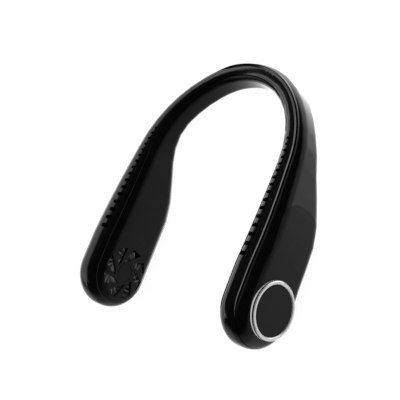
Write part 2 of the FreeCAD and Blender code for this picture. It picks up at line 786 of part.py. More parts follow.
def windings(core):
    """One coil round each tooth."""
    coils = []
    inner = f"({STATOR_HUB} + fit_clearance)"
    for i in range(int(mm("tooth_count"))):
        angle = f"{i} * 360 / tooth_count"
        coil = doc.addObject("Part::Box", f"coil_{i}")
        coil.Placement = Placement(Vector(), Rotation(Vector(1, 0, 0), mm(angle)))
        across, up = polar("-coil_width / 2", angle, inner)
        tie(coil, Length="stator_stack + 2 * coil_overhang", Width="coil_width",
            Height=f"{STATOR_OUTER} - air_gap - {inner}",
            Placement__Base__x=f"inner_radius + {STATOR_START} - coil_overhang",
            Placement__Base__y=f"{FAN_Y} + {across}", Placement__Base__z=f"fan_height + {up}")
        coils.append(coil)
    return boolean("Cut", "right_windings", group("coils", *coils), core)


def air_guide():
    """A wall round the tip side of the impeller that turns the air along the arm, over a flat floor."""
    inner = "(impeller_radius + guide_gap)"
    wall = doc.addObject("Part::Cylinder", "guide_drum")
    wall.Placement = Placement(Vector(), Rotation(Vector(1, 0, 0), mm("guide_start - 90"))
                               .multiply(Rotation(Vector(0, 1, 0), 90)).multiply(Rotation(Vector(0, 0, 1), 180)))
    tie(wall, Radius=f"{inner} + guide_wall", Height=f"{BACK_END} - {BLADE_START}", Angle="guide_turn",
        Placement__Base__x=f"inner_radius + {BLADE_START}", Placement__Base__y=FAN_Y, Placement__Base__z="fan_height")
    core = rod("guide_core", inner, f"{BLADE_START} - overrun", f"{BACK_END} + overrun")
    floor = doc.addObject("Part::Box", "guide_floor_plate")
    tie(floor, Length=f"{BACK_END} - {BLADE_START}", Width="guide_floor", Height="guide_wall",
        Placement__Base__x=f"inner_radius + {BLADE_START}", Placement__Base__y=FAN_Y,
        Placement__Base__z=f"fan_height - {inner} - guide_wall")
    sheet_wall = fuse("guide_sheet", boolean("Cut", "guide_wall_ring", wall, core), floor)
    return boolean("Common", "right_air_guide", sheet_wall, paddle("liner", "(wall + seat_clearance)", "Chamfer"))


def screws(name, places, seat):
    """Like screws whose heads stand on a seat at one depth, with shanks running outwards."""
    made = []
    for i, place in enumerate(places):
        shank = rod(f"{name}_shank_{i}", "screw_radius", seat, f"{seat} + screw_length", *place)
        head = rod(f"{name}_head_{i}", "screw_head_radius", f"{seat} - screw_head_height", seat, *place)
        made.append(fuse(f"{name}_{i}", shank, head))
    return group(name, *made)


# Battery, boards and cable

def slab(name, start, end, runs, heights, corner):
    """A block given by its runs and heights in the arm."""
    return block(name, start, end, *[f"{run} - fan_run" for run in runs],
                 *[f"{height} - fan_height" for height in heights], corner)


def link_cable():
    """The ribbon cable over the batteries and through the band."""
    inner = "(inner_radius + (band_thickness - cable_thickness) / 2)"
    drum = doc.addObject("Part::Cylinder", "cable_drum")
    tie(drum, Radius=f"{inner} + cable_thickness", Height="cable_width", Placement__Base__y=ARCH_Y,
        Placement__Base__z=CABLE_LOW)
    drum.Angle = 180
    core = doc.addObject("Part::Cylinder", "cable_core")
    tie(core, Radius=inner, Height="cable_width + 2 * overrun", Placement__Base__y=ARCH_Y,
        Placement__Base__z=f"{CABLE_LOW} - overrun")
    straight = doc.addObject("Part::Box", "cable_straight")
    tie(straight, Length="cable_thickness", Width="arm_length - cable_run", Height="cable_width",
        Placement__Base__x=inner, Placement__Base__y=f"{TIP_Y} + cable_run", Placement__Base__z=CABLE_LOW)
    return fuse("link_cable", boolean("Cut", "cable_bend", drum, core), straight,
                mirrored("cable_other_straight", straight))


def control_board():
    blank = block("board_blank", BOARD_START, BOARD_TOP, "-board_length / 2", "board_length / 2",
                  "-board_width / 2", "board_width / 2", "board_corner")
    holes = [rod(f"board_hole_{i}", SCREW_HOLE, f"{BOARD_START} - overrun", f"{BOARD_TOP} + overrun", *place)
             for i, place in enumerate(BOARD_SCREW_PLACES)]
    return boolean("Cut", "control_board", blank, group("board_holes", *holes))


def tact_switch():
    half = "switch_side / 2"
    case = block("switch_case", BOARD_TOP, SWITCH_TOP, f"-{half}", half, f"-{half}", half, "board_corner")
    bore = rod("switch_bore", "plunger_radius + stem_clearance", f"{SWITCH_TOP} - switch_bore_depth",
               f"{SWITCH_TOP} + overrun")
    return boolean("Cut", "tact_switch", case, bore)


def usb_c_socket():
    """Metal shell with a mouth facing down and a contact tongue in it."""
    body = arm_body("usb_c_socket")
    bottom = "socket_recess - fan_height"
    run = "socket_run - fan_run"

    def outline(name, offset, inset):
        sketch = sketch_on(body, "XY_Plane", name, offset)
        rounded(sketch, f"{SOCKET_START} + {inset}", f"{SOCKET_START} + socket_thickness - {inset}",
                f"{run} - socket_length / 2 + {inset}", f"{run} + socket_length / 2 - {inset}",
                f"socket_corner - {inset}")
        return sketch

    extrude(body, "socket_pad", outline("socket_outline", bottom, "0"), "Pad", "socket_height")
    mouth = extrude(body, "socket_pocket", outline("mouth_outline", bottom, "socket_shell"), "Pocket", "socket_depth")
    mouth.Reversed = True
    sketch = sketch_on(body, "XY_Plane", "tongue_outline", f"{bottom} + tongue_inset")
    polygon(sketch, box_corners("(arm_thickness - tongue_thickness) / 2", "(arm_thickness + tongue_thickness) / 2",
                                f"{run} - tongue_length / 2", f"{run} + tongue_length / 2"))
    extrude(body, "tongue", sketch, "Pad", "socket_depth - tongue_inset + socket_shell")
    return body


# Every piece of the right arm that has a like piece in the left arm

core_right = stator()
battery_low = f"({low(mm('battery_run + battery_length'))} + wall + battery_rise)"
pairs = {
    "side_panel": side_panel(),
    "trim_ring": turned("right_trim_ring", [
        (RING_START, "ring_inner_radius"), (f"{RING_END} - ring_bevel", "ring_inner_radius"),
        (RING_END, "ring_inner_radius + ring_bevel"), (RING_END, "ring_outer_radius - ring_bevel"),
        (f"{RING_END} - ring_bevel", "ring_outer_radius"), (RING_START, "ring_outer_radius")]),
    "impeller": impeller(),
    "rotor_magnet": turned("right_rotor_magnet", box_corners(
        NOSE_END, BACK_END, f"{MAGNET_OUTER} - magnet_thickness", f"{MAGNET_OUTER} - fit_clearance")),
    "shaft": rod("right_shaft", "shaft_radius", BLADE_START, f"{BASE_START} - air_gap"),
    "bearing": turned("right_bearing", box_corners(
        f"{BASE_START} - bearing_length", BASE_START, "shaft_radius + running_clearance", "bearing_radius")),
    "stator": core_right,
    "windings": windings(core_right),
    "motor_base": motor_base(),
    "air_guide": air_guide(),
    "battery": slab("right_battery", "battery_start_depth", BATTERY_END,
                    ("battery_run", "battery_run + battery_length"), (battery_low, BATTERY_HIGH),
                    "battery_corner"),
    "battery_pad": slab("right_battery_pad", "wall", "battery_start_depth",
                        ("battery_run + pad_margin", "battery_run + battery_length - pad_margin"),
                        (f"{battery_low} + pad_margin", f"{BATTERY_HIGH} - pad_margin"), "battery_corner"),
}
nodes = {}
for word, piece in pairs.items():
    nodes[f"right_{word}"] = piece
    nodes[f"left_{word}"] = mirrored(f"left_{word}", piece)

# Pieces that come once
nodes["centre_frame"] = centre_frame()
nodes["inner_cover"] = inner_cover()
nodes["outer_cover"] = outer_cover()
disc_edge = [(f"{BUTTON_TOP} - button_edge", BUTTON_RADIUS), (BUTTON_TOP, f"{BUTTON_RADIUS} - button_edge"),
             (BUTTON_TOP, "0")]
nodes["power_button"] = turned("power_button", [
    (PLUNGER_TOP, "0"), (PLUNGER_TOP, "stem_radius"), (BUTTON_UNDER, "stem_radius"),
    (BUTTON_UNDER, BUTTON_RADIUS)] + disc_edge)
nodes["left_cap_disc"] = mirrored("left_cap_disc", turned("cap_disc", [
    (OUTER_FACE, "0"), (OUTER_FACE, BUTTON_RADIUS)] + disc_edge))
nodes["control_board"] = control_board()
nodes["tact_switch"] = tact_switch()
nodes["switch_plunger"] = rod("switch_plunger", "plunger_radius", f"{SWITCH_TOP} - plunger_sink", PLUNGER_TOP)
nodes["usb_c_socket"] = usb_c_socket()
nodes["charge_board"] = slab(
    "charge_board", f"{SOCKET_START} + socket_thickness", f"{SOCKET_START} + socket_thickness + board_thickness",
    ("socket_run - charge_board_length / 2", "socket_run + charge_board_length / 2"),
    ("wall + 2 * seat_clearance", "wall + 2 * seat_clearance + charge_board_height"), "board_corner")
nodes["link_cable"] = link_cable()
right_screws = screws("right_motor_screws", LUG_PLACES, BASE_START)
nodes["motor_screws"] = group("motor_screws", right_screws, mirrored("left_motor_screws", right_screws))
nodes["board_screws"] = screws("board_screws", BOARD_SCREW_PLACES, BOARD_START)

doc.recompute()
for item in doc.Objects:
    if "Invalid" in item.State or "Error" in item.State:
        raise RuntimeError(f"{item.Name}: {item.getStatusString()}")
for word, piece in nodes.items():
    piece.Label = word
    if piece.Shape.isNull() or not piece.Shape.isValid():
        raise RuntimeError(f"{word}: the shape is empty or broken")

os.makedirs("parts", exist_ok=True)
for word, piece in nodes.items():
    piece.Shape.exportStep(f"parts/{word}.step")
    print(word, len(piece.Shape.Solids), "solid(s)", round(piece.Shape.Volume), "mm3")
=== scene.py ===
# %% [markdown]
# # A neck fan, dressed for its picture
# The solid model of the fan arrives as a fixed frame: every piece already has its size and place.
# This lesson gives the pieces smooth surfaces and finishes, and sets up a small studio round them.
# First the frame is loaded.

# %% Load the frame
import math
import bmesh
import bpy
from mathutils import Matrix, Vector


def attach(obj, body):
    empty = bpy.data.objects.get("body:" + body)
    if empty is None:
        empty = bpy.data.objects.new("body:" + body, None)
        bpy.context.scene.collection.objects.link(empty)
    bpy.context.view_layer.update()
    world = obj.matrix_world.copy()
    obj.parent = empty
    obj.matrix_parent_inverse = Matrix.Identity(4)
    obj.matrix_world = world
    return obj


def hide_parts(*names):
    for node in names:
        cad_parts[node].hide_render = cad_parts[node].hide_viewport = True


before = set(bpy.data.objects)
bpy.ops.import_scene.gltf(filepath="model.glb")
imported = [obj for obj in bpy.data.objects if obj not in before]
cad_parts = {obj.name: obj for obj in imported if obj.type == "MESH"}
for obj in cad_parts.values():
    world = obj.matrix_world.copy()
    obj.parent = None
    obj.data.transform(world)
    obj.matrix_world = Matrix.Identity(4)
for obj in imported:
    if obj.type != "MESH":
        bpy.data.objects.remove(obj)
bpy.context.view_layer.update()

# %% [markdown]
# ## The camera
# The photograph looks down on the fan from the side of the power button, with the camera rolled so
# that the U stands upright in the picture. A camera can be aimed with constraints, but a roll is
# clearer when the three axes of the camera are worked out and put into its matrix.

# %% Camera
AZIMUTH, ELEVATION, ROLL = math.radians(74.21), math.radians(41.02), math.radians(-58.01)
LOOK_AT = Vector((-0.00428, -0.00794, 0.03203))
DISTANCE = 0.64439
LENS, SENSOR = 87.09, 36
NEAREST, FARTHEST = 0.01, 20

back = Vector((math.sin(AZIMUTH) * math.cos(ELEVATION), -math.cos(AZIMUTH) * math.cos(ELEVATION),
               math.sin(ELEVATION)))
level = Vector((math.cos(AZIMUTH), math.sin(AZIMUTH), 0))
upright = back.cross(level)
across = math.cos(ROLL) * level + math.sin(ROLL) * upright
upward = -math.sin(ROLL) * level + math.cos(ROLL) * upright

camera = bpy.data.objects.new("camera", bpy.data.cameras.new("camera"))
bpy.context.collection.objects.link(camera)
camera.data.lens = LENS
camera.data.sensor_width = SENSOR
camera.data.clip_start, camera.data.clip_end = NEAREST, FARTHEST
camera.matrix_world = Matrix.Translation(LOOK_AT + back * DISTANCE) @ Matrix(
    (across, upward, back)).transposed().to_4x4()
bpy.context.scene.camera = camera
print("camera at", [round(v, 3) for v in camera.location])

# %% [markdown]
# ## An effect that all finishes share
# Moulded plastic is never perfectly even. A fine grain breaks up the highlights of the satin pieces,
# and a slow, wide variation makes gloss look handled rather than computed. Both are noise, so one
# node group holds them, with their two scales, the roughness and its variation as named inputs.

# %% Helpers for node trees
def node(tree, kind, at=(0, 0), **values):
    """Add a node to a tree and set its properties and the values of its sockets."""
    made = tree.nodes.new(kind)
    made.location = at
    for name, value in values.items():
        if hasattr(made, name):
            setattr(made, name, value)
        else:
            made.inputs[name.replace("_", " ")].default_value = value
    return made


def maths(tree, operation, *values, at=(0, 0)):
    """A maths node; each value is a number or the output of another node."""
    made = node(tree, "ShaderNodeMath", at, operation=operation)
    for socket, value in zip(made.inputs, values):
        if isinstance(value, (int, float)):
            socket.default_value = value
        else:
            tree.links.new(value, socket)
    return made.outputs[0]


print("helpers:", node.__name__, maths.__name__)

# %% Node group: moulded surface
NOISE_MIDDLE = 0.5
moulded = bpy.data.node_groups.new("moulded surface", "ShaderNodeTree")
for word, value in (("Grain Scale", 4000), ("Cloud Scale", 40), ("Roughness", 0.3), ("Variation", 0.05)):
    socket = moulded.interface.new_socket(word, in_out="INPUT", socket_type="NodeSocketFloat")
    socket.default_value = value
for word in ("Roughness", "Height"):
    moulded.interface.new_socket(word, in_out="OUTPUT", socket_type="NodeSocketFloat")
given = node(moulded, "NodeGroupInput", (-800, 0))
result = node(moulded, "NodeGroupOutput", (600, 0))

place = node(moulded, "ShaderNodeTexCoord", (-800, 300))
grain = node(moulded, "ShaderNodeTexNoise", (-400, 200), Detail=3)
cloud = node(moulded, "ShaderNodeTexNoise", (-400, -100), Detail=4)
for texture, word in ((grain, "Grain Scale"), (cloud, "Cloud Scale")):
    moulded.links.new(place.outputs["Object"], texture.inputs["Vector"])
    moulded.links.new(given.outputs[word], texture.inputs["Scale"])
swing = maths(moulded, "SUBTRACT", cloud.outputs["Fac"], NOISE_MIDDLE, at=(-200, -100))
swing = maths(moulded, "MULTIPLY", swing, given.outputs["Variation"], at=(0, -100))
varied = maths(moulded, "ADD", swing, given.outputs["Roughness"], at=(200, -100))
varied.node.use_clamp = True
moulded.links.new(varied, result.inputs["Roughness"])
moulded.links.new(grain.outputs["Fac"], result.inputs["Height"])
print("group:", moulded.name, len(moulded.nodes), "nodes")

# %% [markdown]
# ## Finishes
# Every finish below starts from one principled shader. Its colour is mixed a little lighter and
# darker by the same grain that its bump shows, and the clouds change its gloss. What is the same all
# over a piece, such as its metal or the strength of its mirror, is set on the shader itself.

# %% A maker for finishes
GRAIN_DEPTH = 0.0001


def finish(name, colour, roughness, variation=0.06, grain_scale=4000, bump=0.02, tint=0.15, **constants):
    """A material with moulded grain; constants are values of the shader's own sockets."""
    material = bpy.data.materials.new(name)
    material.use_nodes = True
    tree = material.node_tree
    shader = tree.nodes["Principled BSDF"]
    for socket, value in constants.items():
        shader.inputs[socket.replace("_", " ")].default_value = value
    surface = node(tree, "ShaderNodeGroup", (-700, -100), node_tree=moulded)
    surface.inputs["Grain Scale"].default_value = grain_scale
    surface.inputs["Roughness"].default_value = roughness
    surface.inputs["Variation"].default_value = variation
    tree.links.new(surface.outputs["Roughness"], shader.inputs["Roughness"])
    relief = node(tree, "ShaderNodeBump", (-300, -300), Strength=bump, Distance=GRAIN_DEPTH)
    tree.links.new(surface.outputs["Height"], relief.inputs["Height"])
    tree.links.new(relief.outputs["Normal"], shader.inputs["Normal"])
    shade = node(tree, "ShaderNodeMix", (-300, 200), data_type="RGBA")
    shade.inputs["A"].default_value = (*[c * (1 - tint) for c in colour], 1)
    shade.inputs["B"].default_value = (*[c * (1 + tint) for c in colour], 1)
    tree.links.new(surface.outputs["Height"], shade.inputs["Factor"])
    tree.links.new(shade.outputs["Result"], shader.inputs["Base Color"])
    return material


print("grain depth:", GRAIN_DEPTH, "m")

# %% Finishes of the outside
gloss_black = finish("gloss black", (0.0018, 0.0019, 0.002), 0.1, variation=0.04, bump=0.003)
neck_black = finish("neck side black", (0.002, 0.0022, 0.0024), 0.2, variation=0.06, bump=0.006,
                    Specular_IOR_Level=0.25)
satin_panel = finish("satin panel", (0.0042, 0.0052, 0.0056), 0.42, grain_scale=6000, bump=0.05,
                     Specular_IOR_Level=0.255)
matt_disc = finish("matt disc", (0.0048, 0.0056, 0.0062), 0.5, grain_scale=7000, bump=0.06,
                   Specular_IOR_Level=0.265)
bright_ring = finish("bright ring", (0.93, 0.935, 0.94), 0.22, tint=0.02, bump=0.004, Metallic=0.7)
# Painted shade: the black that fills the groove in each trim ring.
painted_groove_shade = finish("ring groove painted shade", (0.004, 0.004, 0.0042), 0.5, bump=0.01)
ring_edge = finish("ring edge silver", (0.93, 0.935, 0.94), 0.3, tint=0.02, bump=0.004, Metallic=0.1)
print("finishes outside:", len(bpy.data.materials))

# %% Finishes of the inside
fan_plastic = finish("fan plastic", (0.3, 0.304, 0.31), 0.28, bump=0.04)
ferrite = finish("ferrite", (0.1, 0.1, 0.105), 0.6, bump=0.2, Metallic=0.4)
steel = finish("steel", (0.55, 0.55, 0.57), 0.3, bump=0.03, Metallic=1)
bronze = finish("bronze", (0.6, 0.42, 0.2), 0.4, bump=0.08, Metallic=1)
copper = finish("copper wire", (0.72, 0.3, 0.14), 0.35, bump=0.15, Metallic=1)
cast_alloy = finish("cast alloy", (0.6, 0.6, 0.62), 0.45, bump=0.12, Metallic=1)
battery_wrap = finish("battery wrap", (0.02, 0.022, 0.026), 0.35, bump=0.03)
foam = finish("foam", (0.05, 0.05, 0.052), 0.9, grain_scale=2500, bump=0.5)
solder_mask = finish("solder mask", (0.02, 0.16, 0.06), 0.3, bump=0.03)
switch_plastic = finish("switch plastic", (0.06, 0.06, 0.065), 0.5, bump=0.05)
ribbon = finish("ribbon cable", (0.02, 0.02, 0.02), 0.55, bump=0.1)
print("finishes in all:", len(bpy.data.materials))

# %% [markdown]
# ## Smooth copies of the visible mouldings
# The shells of the real fan are polished mouldings without a facet. The frame's meshes are loose
# triangles, so a copy of each visible node is merged at its doubled points and shaded smooth, with
# the edges of grooves and openings kept sharp by their angle. The copy then stands for the node.

# %% Smooth copies
MERGE_DISTANCE = 0.000002
SMOOTH_ANGLE = math.radians(35)


def pick(piece):
    """Make a piece the active one and the only one that is selected."""
    bpy.ops.object.select_all(action="DESELECT")
    piece.select_set(True)
    bpy.context.view_layer.objects.active = piece


def smooth_copy(word, body, material):
    """Copy a node's mesh, merge it, shade it smooth and let it stand for the node."""
    piece = bpy.data.objects.new(f"{word}_moulding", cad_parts[word].data.copy())
    bpy.context.collection.objects.link(piece)
    pick(piece)
    bpy.ops.mesh.customdata_custom_splitnormals_clear()
    bpy.ops.object.mode_set(mode="EDIT")
    bpy.ops.mesh.select_all(action="SELECT")
    bpy.ops.mesh.remove_doubles(threshold=MERGE_DISTANCE)
    bpy.ops.object.mode_set(mode="OBJECT")
    bpy.ops.object.shade_smooth_by_angle(angle=SMOOTH_ANGLE)
    piece.data.materials.clear()
    piece.data.materials.append(material)
    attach(piece, body)
    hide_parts(word)
    print(word, len(piece.data.vertices), "points,", len(piece.data.polygons), "faces")
    return piece


copies = {}
for word, material in (("centre_frame", gloss_black), ("outer_cover", gloss_black),
                       ("inner_cover", neck_black), ("right_side_panel", satin_panel),
                       ("left_side_panel", satin_panel), ("right_trim_ring", bright_ring),
                       ("left_trim_ring", bright_ring), ("left_cap_disc", matt_disc),
                       ("usb_c_socket", steel)):
    copies[word] = smooth_copy(word, "housing", material)
smooth_copy("power_button", "button", matt_disc)
smooth_copy("right_impeller", "right_rotor", fan_plastic)
smooth_copy("left_impeller", "left_rotor", fan_plastic)

# %% [markdown]
# ## The groove in each trim ring, with painted shade
# The bright ring is a turned piece, and a fine groove runs round its wall just below the face. On a
# lathe that is one touch of a narrow tool. Here two cuts across the axis mark the band, the faces of
# the wall between them are picked by their place, and they are pushed inwards and painted black as
# the groove's shade. The wall below the groove gets a silver of its own, with less metal in it.

# %% Line in the rings
LINE_BELOW, LINE_WIDTH = 0.00052, 0.0011
WALL_SHARE, LINE_SHARE, FLOOR_SHARE = 0.99, 0.945, 0.93
SLACK = 0.00001
SHADE_SLOT, EDGE_SLOT = 1, 2


def turn_line(piece, side):
    """Turn a groove into the wall of a ring whose face looks along X (side 1) or against it (-1); its
    black is painted shade.
    """
    places = [vertex.co for vertex in piece.data.vertices]
    face = max(side * place.x for place in places)
    axis = Vector((side * face, (min(p.y for p in places) + max(p.y for p in places)) / 2,
                   (min(p.z for p in places) + max(p.z for p in places)) / 2))
    reach = max(math.hypot(place.y - axis.y, place.z - axis.z) for place in places)
    pick(piece)
    piece.data.materials.append(painted_groove_shade)
    piece.data.materials.append(ring_edge)
    bpy.context.tool_settings.mesh_select_mode = (False, False, True)
    bpy.ops.object.mode_set(mode="EDIT")
    for below in (LINE_BELOW, LINE_BELOW + LINE_WIDTH):
        bpy.ops.mesh.select_all(action="SELECT")
        bpy.ops.mesh.bisect(plane_co=(side * (face - below), 0, 0), plane_no=(1, 0, 0))
    bpy.ops.mesh.select_all(action="DESELECT")
    bpy.ops.object.mode_set(mode="OBJECT")

    def place_of(polygon):
        """How far a face lies below the ring's face, and how far from its axis."""
        middle = polygon.center
        return face - side * middle.x, math.hypot(middle.y - axis.y, middle.z - axis.z)

    for polygon in piece.data.polygons:
        below, away = place_of(polygon)
        on_wall = away > WALL_SHARE * reach
        polygon.select = on_wall and LINE_BELOW < below < LINE_BELOW + LINE_WIDTH
        if on_wall and below > LINE_BELOW:
            polygon.material_index = EDGE_SLOT
    bpy.ops.object.mode_set(mode="EDIT")
    bpy.ops.mesh.extrude_region_move()
    bpy.ops.transform.resize(value=(1, LINE_SHARE, LINE_SHARE), center_override=axis)
    bpy.ops.object.mode_set(mode="OBJECT")
    dark = 0
    for polygon in piece.data.polygons:
        below, away = place_of(polygon)
        in_line = LINE_BELOW - SLACK < below < LINE_BELOW + LINE_WIDTH + SLACK
        # The faces inside the groove get the black of painted shade.
        if in_line and FLOOR_SHARE * reach < away < WALL_SHARE * reach:
            polygon.material_index = SHADE_SLOT
            dark += 1
    bpy.ops.object.shade_smooth_by_angle(angle=SMOOTH_ANGLE)
    print(piece.name, "line of", dark, "faces, wall at", round(1000 * reach, 2), "mm")


turn_line(copies["right_trim_ring"], 1)
turn_line(copies["left_trim_ring"], -1)

# %% [markdown]
# ## Where the outer seam runs
# On both sides of the outer seam the edge of the moulding is turned up into a low lip. To find those
# edges and to follow the seam smoothly, its line is worked out from the sizes of the fan: how far a
# place lies along the arm and round the arch, how thick the fan is there, and the seam's share of it.

# %% Line of the seam
ARCH_Y, INNER_RADIUS, ARM_LENGTH = 0.02125, 0.058, 0.114
ARM_THICKNESS, BAND_THICKNESS = 0.0245, 0.0135
TAPER_START, TAPER_END = 0.057, 0.172
SEAM_SHARE, GROOVE_WIDTH = 0.76, 0.0006


def seam_distance(place):
    """How far a place lies inside the outer seam, and which way leads out to it."""
    ahead = max(place.y - ARCH_Y, 0)
    out = Vector((place.x, ahead, 0))
    run = ARM_LENGTH + INNER_RADIUS * math.atan2(ahead, abs(place.x)) + min(place.y - ARCH_Y, 0)
    share = min(max((run - TAPER_START) / (TAPER_END - TAPER_START), 0), 1)
    thick = ARM_THICKNESS + (BAND_THICKNESS - ARM_THICKNESS) * share * share * (3 - 2 * share)
    return INNER_RADIUS + SEAM_SHARE * thick - out.length, out.normalized()


arm_seam = INNER_RADIUS + SEAM_SHARE * ARM_THICKNESS
print("seam at the arm:", round(1000 * arm_seam, 2), "mm from the middle")

# %% [markdown]
# ## The rims beside the seam
# A rim is the convex edge between the skin and the wall of the seam. It could be picked by hand, but
# its place and the directions of its two faces say as much. The rim of the strip and that of the
# cover are copied away, divided, and moved onto the true line, so that they follow the arch more
# smoothly than the mesh does.

# %% Rims
OUTWARD, INWARD = 1, -1
EDGE_REACH = 0.00015
LIP_ENDS_X, LIP_ENDS_Y, LIP_LOWEST = -0.03, -0.081, 0.035
WALL_LEAN, SKIN_LEAN = 0.8, 0.5
RIM_CUTS = 3


def is_rim(edge, gap, facing):
    """Whether an edge is the upper rim of a wall that lies at that gap and faces outward or inward."""
    if len(edge.link_faces) != 2 or not edge.is_convex:
        return False
    for corner in edge.verts:
        distance, out = seam_distance(corner.co)
        if abs(distance - gap) > EDGE_REACH or corner.co.z < LIP_LOWEST:
            return False
        if corner.co.x < LIP_ENDS_X or corner.co.y < LIP_ENDS_Y:
            return False
    is_wall = any(facing * face.normal.dot(out) > WALL_LEAN for face in edge.link_faces)
    return is_wall and any(face.normal.z > SKIN_LEAN for face in edge.link_faces)


def copy_rim(piece, word, gap, facing):
    """Copy the rim of a moulding's wall away and move it onto the true line of the seam."""
    pick(piece)
    bpy.context.tool_settings.mesh_select_mode = (False, True, False)
    bpy.ops.object.mode_set(mode="EDIT")
    bpy.ops.mesh.select_all(action="DESELECT")
    shape = bmesh.from_edit_mesh(piece.data)
    for edge in shape.edges:
        edge.select_set(is_rim(edge, gap, facing))
    bmesh.update_edit_mesh(piece.data)
    bpy.ops.mesh.duplicate()
    bpy.ops.mesh.separate(type="SELECTED")
    bpy.ops.object.mode_set(mode="OBJECT")
    rim = [made for made in bpy.context.selected_objects if made != piece][0]
    rim.name = word
    pick(rim)
    bpy.ops.object.mode_set(mode="EDIT")
    bpy.ops.mesh.select_all(action="SELECT")
    bpy.ops.mesh.subdivide(number_cuts=RIM_CUTS)
    bpy.ops.object.mode_set(mode="OBJECT")
    for corner in rim.data.vertices:
        distance, out = seam_distance(corner.co)
        corner.co += (distance - gap) * out
    print(word, "rim of", len(rim.data.edges), "edges")
    return rim


strip_lip = copy_rim(copies["centre_frame"], "strip_lip", GROOVE_WIDTH, OUTWARD)
cover_lip = copy_rim(copies["outer_cover"], "cover_lip", 0, INWARD)

# %% [markdown]
# ## The raised lips
# The slopes of the two lips draw two fine light lines along the near arm and the band. A bump in the
# finish could imitate them, but its reflections are cut off at the surface that carries it, and a real
# slope has no such limit. Each rim becomes a curve, and a small wedge runs along it as its section.
# Towards the ends the wedge shrinks to almost nothing, because the shells lie flush there.

# %% Lips
LIP_FADE, LEAST_SHARE = 0.012, 0.02
LIP_ANGLE = math.radians(9)
STRIP_WEDGE = ((0.00115, 0.00033), (-0.00022, 0.0007), (-0.00032, 0.00071), (-0.00037, 0.00064),
               (-0.00037, 0.00038), (-0.00002, 0.0002), (-0.00002, -0.0003), (0.00115, -0.0003))
COVER_WEDGE = ((0, -0.0003), (0, 0.0002), (0.0006, 0.00034), (0.00072, 0.00031), (0.001, -0.0007),
               (0.0001, -0.0007))


def wedge_section(wedge, turn):
    """A closed outline from places that are given away from the wall and upwards."""
    section = bpy.data.curves.new("wedge", "CURVE")
    outline = section.splines.new("POLY")
    outline.points.add(len(wedge) - 1)
    for point, (away, rise) in zip(outline.points, wedge):
        point.co = (turn * away, rise, 0, 1)
    outline.use_cyclic_u = True
    profile = bpy.data.objects.new("wedge", section)
    bpy.context.collection.objects.link(profile)
    return profile


def raise_lip(lip, facing, wedge):
    """Run a wedge along a rim whose wall faces outward or inward."""
    pick(lip)
    bpy.ops.object.convert(target="CURVE")
    points = lip.data.splines[0].points
    travelled = [0]
    for before, after in zip(points, points[1:]):
        travelled.append(travelled[-1] + (after.co.xyz - before.co.xyz).length)
    for point, length in zip(points, travelled):
        end = min(length, travelled[-1] - length)
        point.radius = min(1, max(end / LIP_FADE, LEAST_SHARE))
    way = 1 if points[-1].co.y > points[0].co.y else -1
    profile = wedge_section(wedge, -way * facing)
    lip.data.dimensions, lip.data.twist_mode = "3D", "Z_UP"
    lip.data.bevel_mode, lip.data.bevel_object, lip.data.use_fill_caps = "OBJECT", profile, True
    bpy.ops.object.convert(target="MESH")
    bpy.data.objects.remove(profile)
    bpy.ops.object.mode_set(mode="EDIT")
    bpy.ops.mesh.select_all(action="SELECT")
    bpy.ops.mesh.remove_doubles(threshold=MERGE_DISTANCE)
    bpy.ops.mesh.normals_make_consistent(inside=False)
    bpy.ops.object.mode_set(mode="OBJECT")
    bpy.ops.object.shade_smooth_by_angle(angle=LIP_ANGLE)
    lip.data.materials.clear()
    lip.data.materials.append(gloss_black)
    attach(lip, "housing")
    print(lip.name, len(lip.data.polygons), "faces")


raise_lip(strip_lip, OUTWARD, STRIP_WEDGE)
raise_lip(cover_lip, INWARD, COVER_WEDGE)

# %% [markdown]
# ## Pieces inside the housing
# Most of these are hidden until the fan is taken apart, and a few can be glimpsed through the intake.
# Their solids are right as they are, so each keeps its mesh and only gets its finish.

# %% Finishes of the inner pieces
PAIRED = {
    "rotor_magnet": ferrite, "shaft": steel, "bearing": bronze, "stator": steel, "windings": copper,
    "motor_base": cast_alloy, "air_guide": fan_plastic, "battery": battery_wrap, "battery_pad": foam,
}
SINGLE = {
    "control_board": solder_mask, "charge_board": solder_mask, "tact_switch": switch_plastic,
    "switch_plunger": switch_plastic, "link_cable": ribbon, "motor_screws": steel, "board_screws": steel,
}
inner = {f"{side}_{word}": material for word, material in PAIRED.items() for side in ("right", "left")}
inner.update(SINGLE)
for word, material in inner.items():
    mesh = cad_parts[word].data
    if mesh.materials:
        mesh.materials[0] = material
    else:
        mesh.materials.append(material)
print("inner pieces finished:", len(inner))

# %% [markdown]
# ## The floor
# The picture has a white ground. The floor looks white to the camera and still takes a faint shadow.
# It could be left in the reflections too, but gloss black is drawn by what it mirrors, and here that
# is a wide white studio: bright behind the fan, dim on the near side and dark overhead. The floor is
# therefore kept out of the reflections, and the world below gives them their light.

# %% Floor
FLOOR_SIZE, FLOOR_DROP = 6, 0.0005
GROUND_WHITE = (0.85, 0.85, 0.85, 1)
GROUND_GLOW, GLOW_SHARE = 1.05, 0.92

bpy.ops.object.select_all(action="DESELECT")
bpy.ops.mesh.primitive_plane_add(size=FLOOR_SIZE, location=(0, 0, -FLOOR_DROP))
floor = bpy.context.object
floor.name = "floor"
floor.visible_glossy = False
ground = bpy.data.materials.new("white ground")
ground.use_nodes = True
tree = ground.node_tree
tree.nodes.clear()
shown = node(tree, "ShaderNodeOutputMaterial", (600, 0))
matt = node(tree, "ShaderNodeBsdfDiffuse", (-200, -150), Color=GROUND_WHITE)
glow = node(tree, "ShaderNodeEmission", (-200, 150), Strength=GROUND_GLOW)
path = node(tree, "ShaderNodeLightPath", (-800, 300))
seen = maths(tree, "MAXIMUM", path.outputs["Is Camera Ray"], path.outputs["Is Transmission Ray"],
             at=(-550, 300))
blend = node(tree, "ShaderNodeMixShader", (300, 0))
tree.links.new(maths(tree, "MULTIPLY", seen, GLOW_SHARE, at=(-150, 350)), blend.inputs["Fac"])
tree.links.new(matt.outputs[0], blend.inputs[1])
tree.links.new(glow.outputs[0], blend.inputs[2])
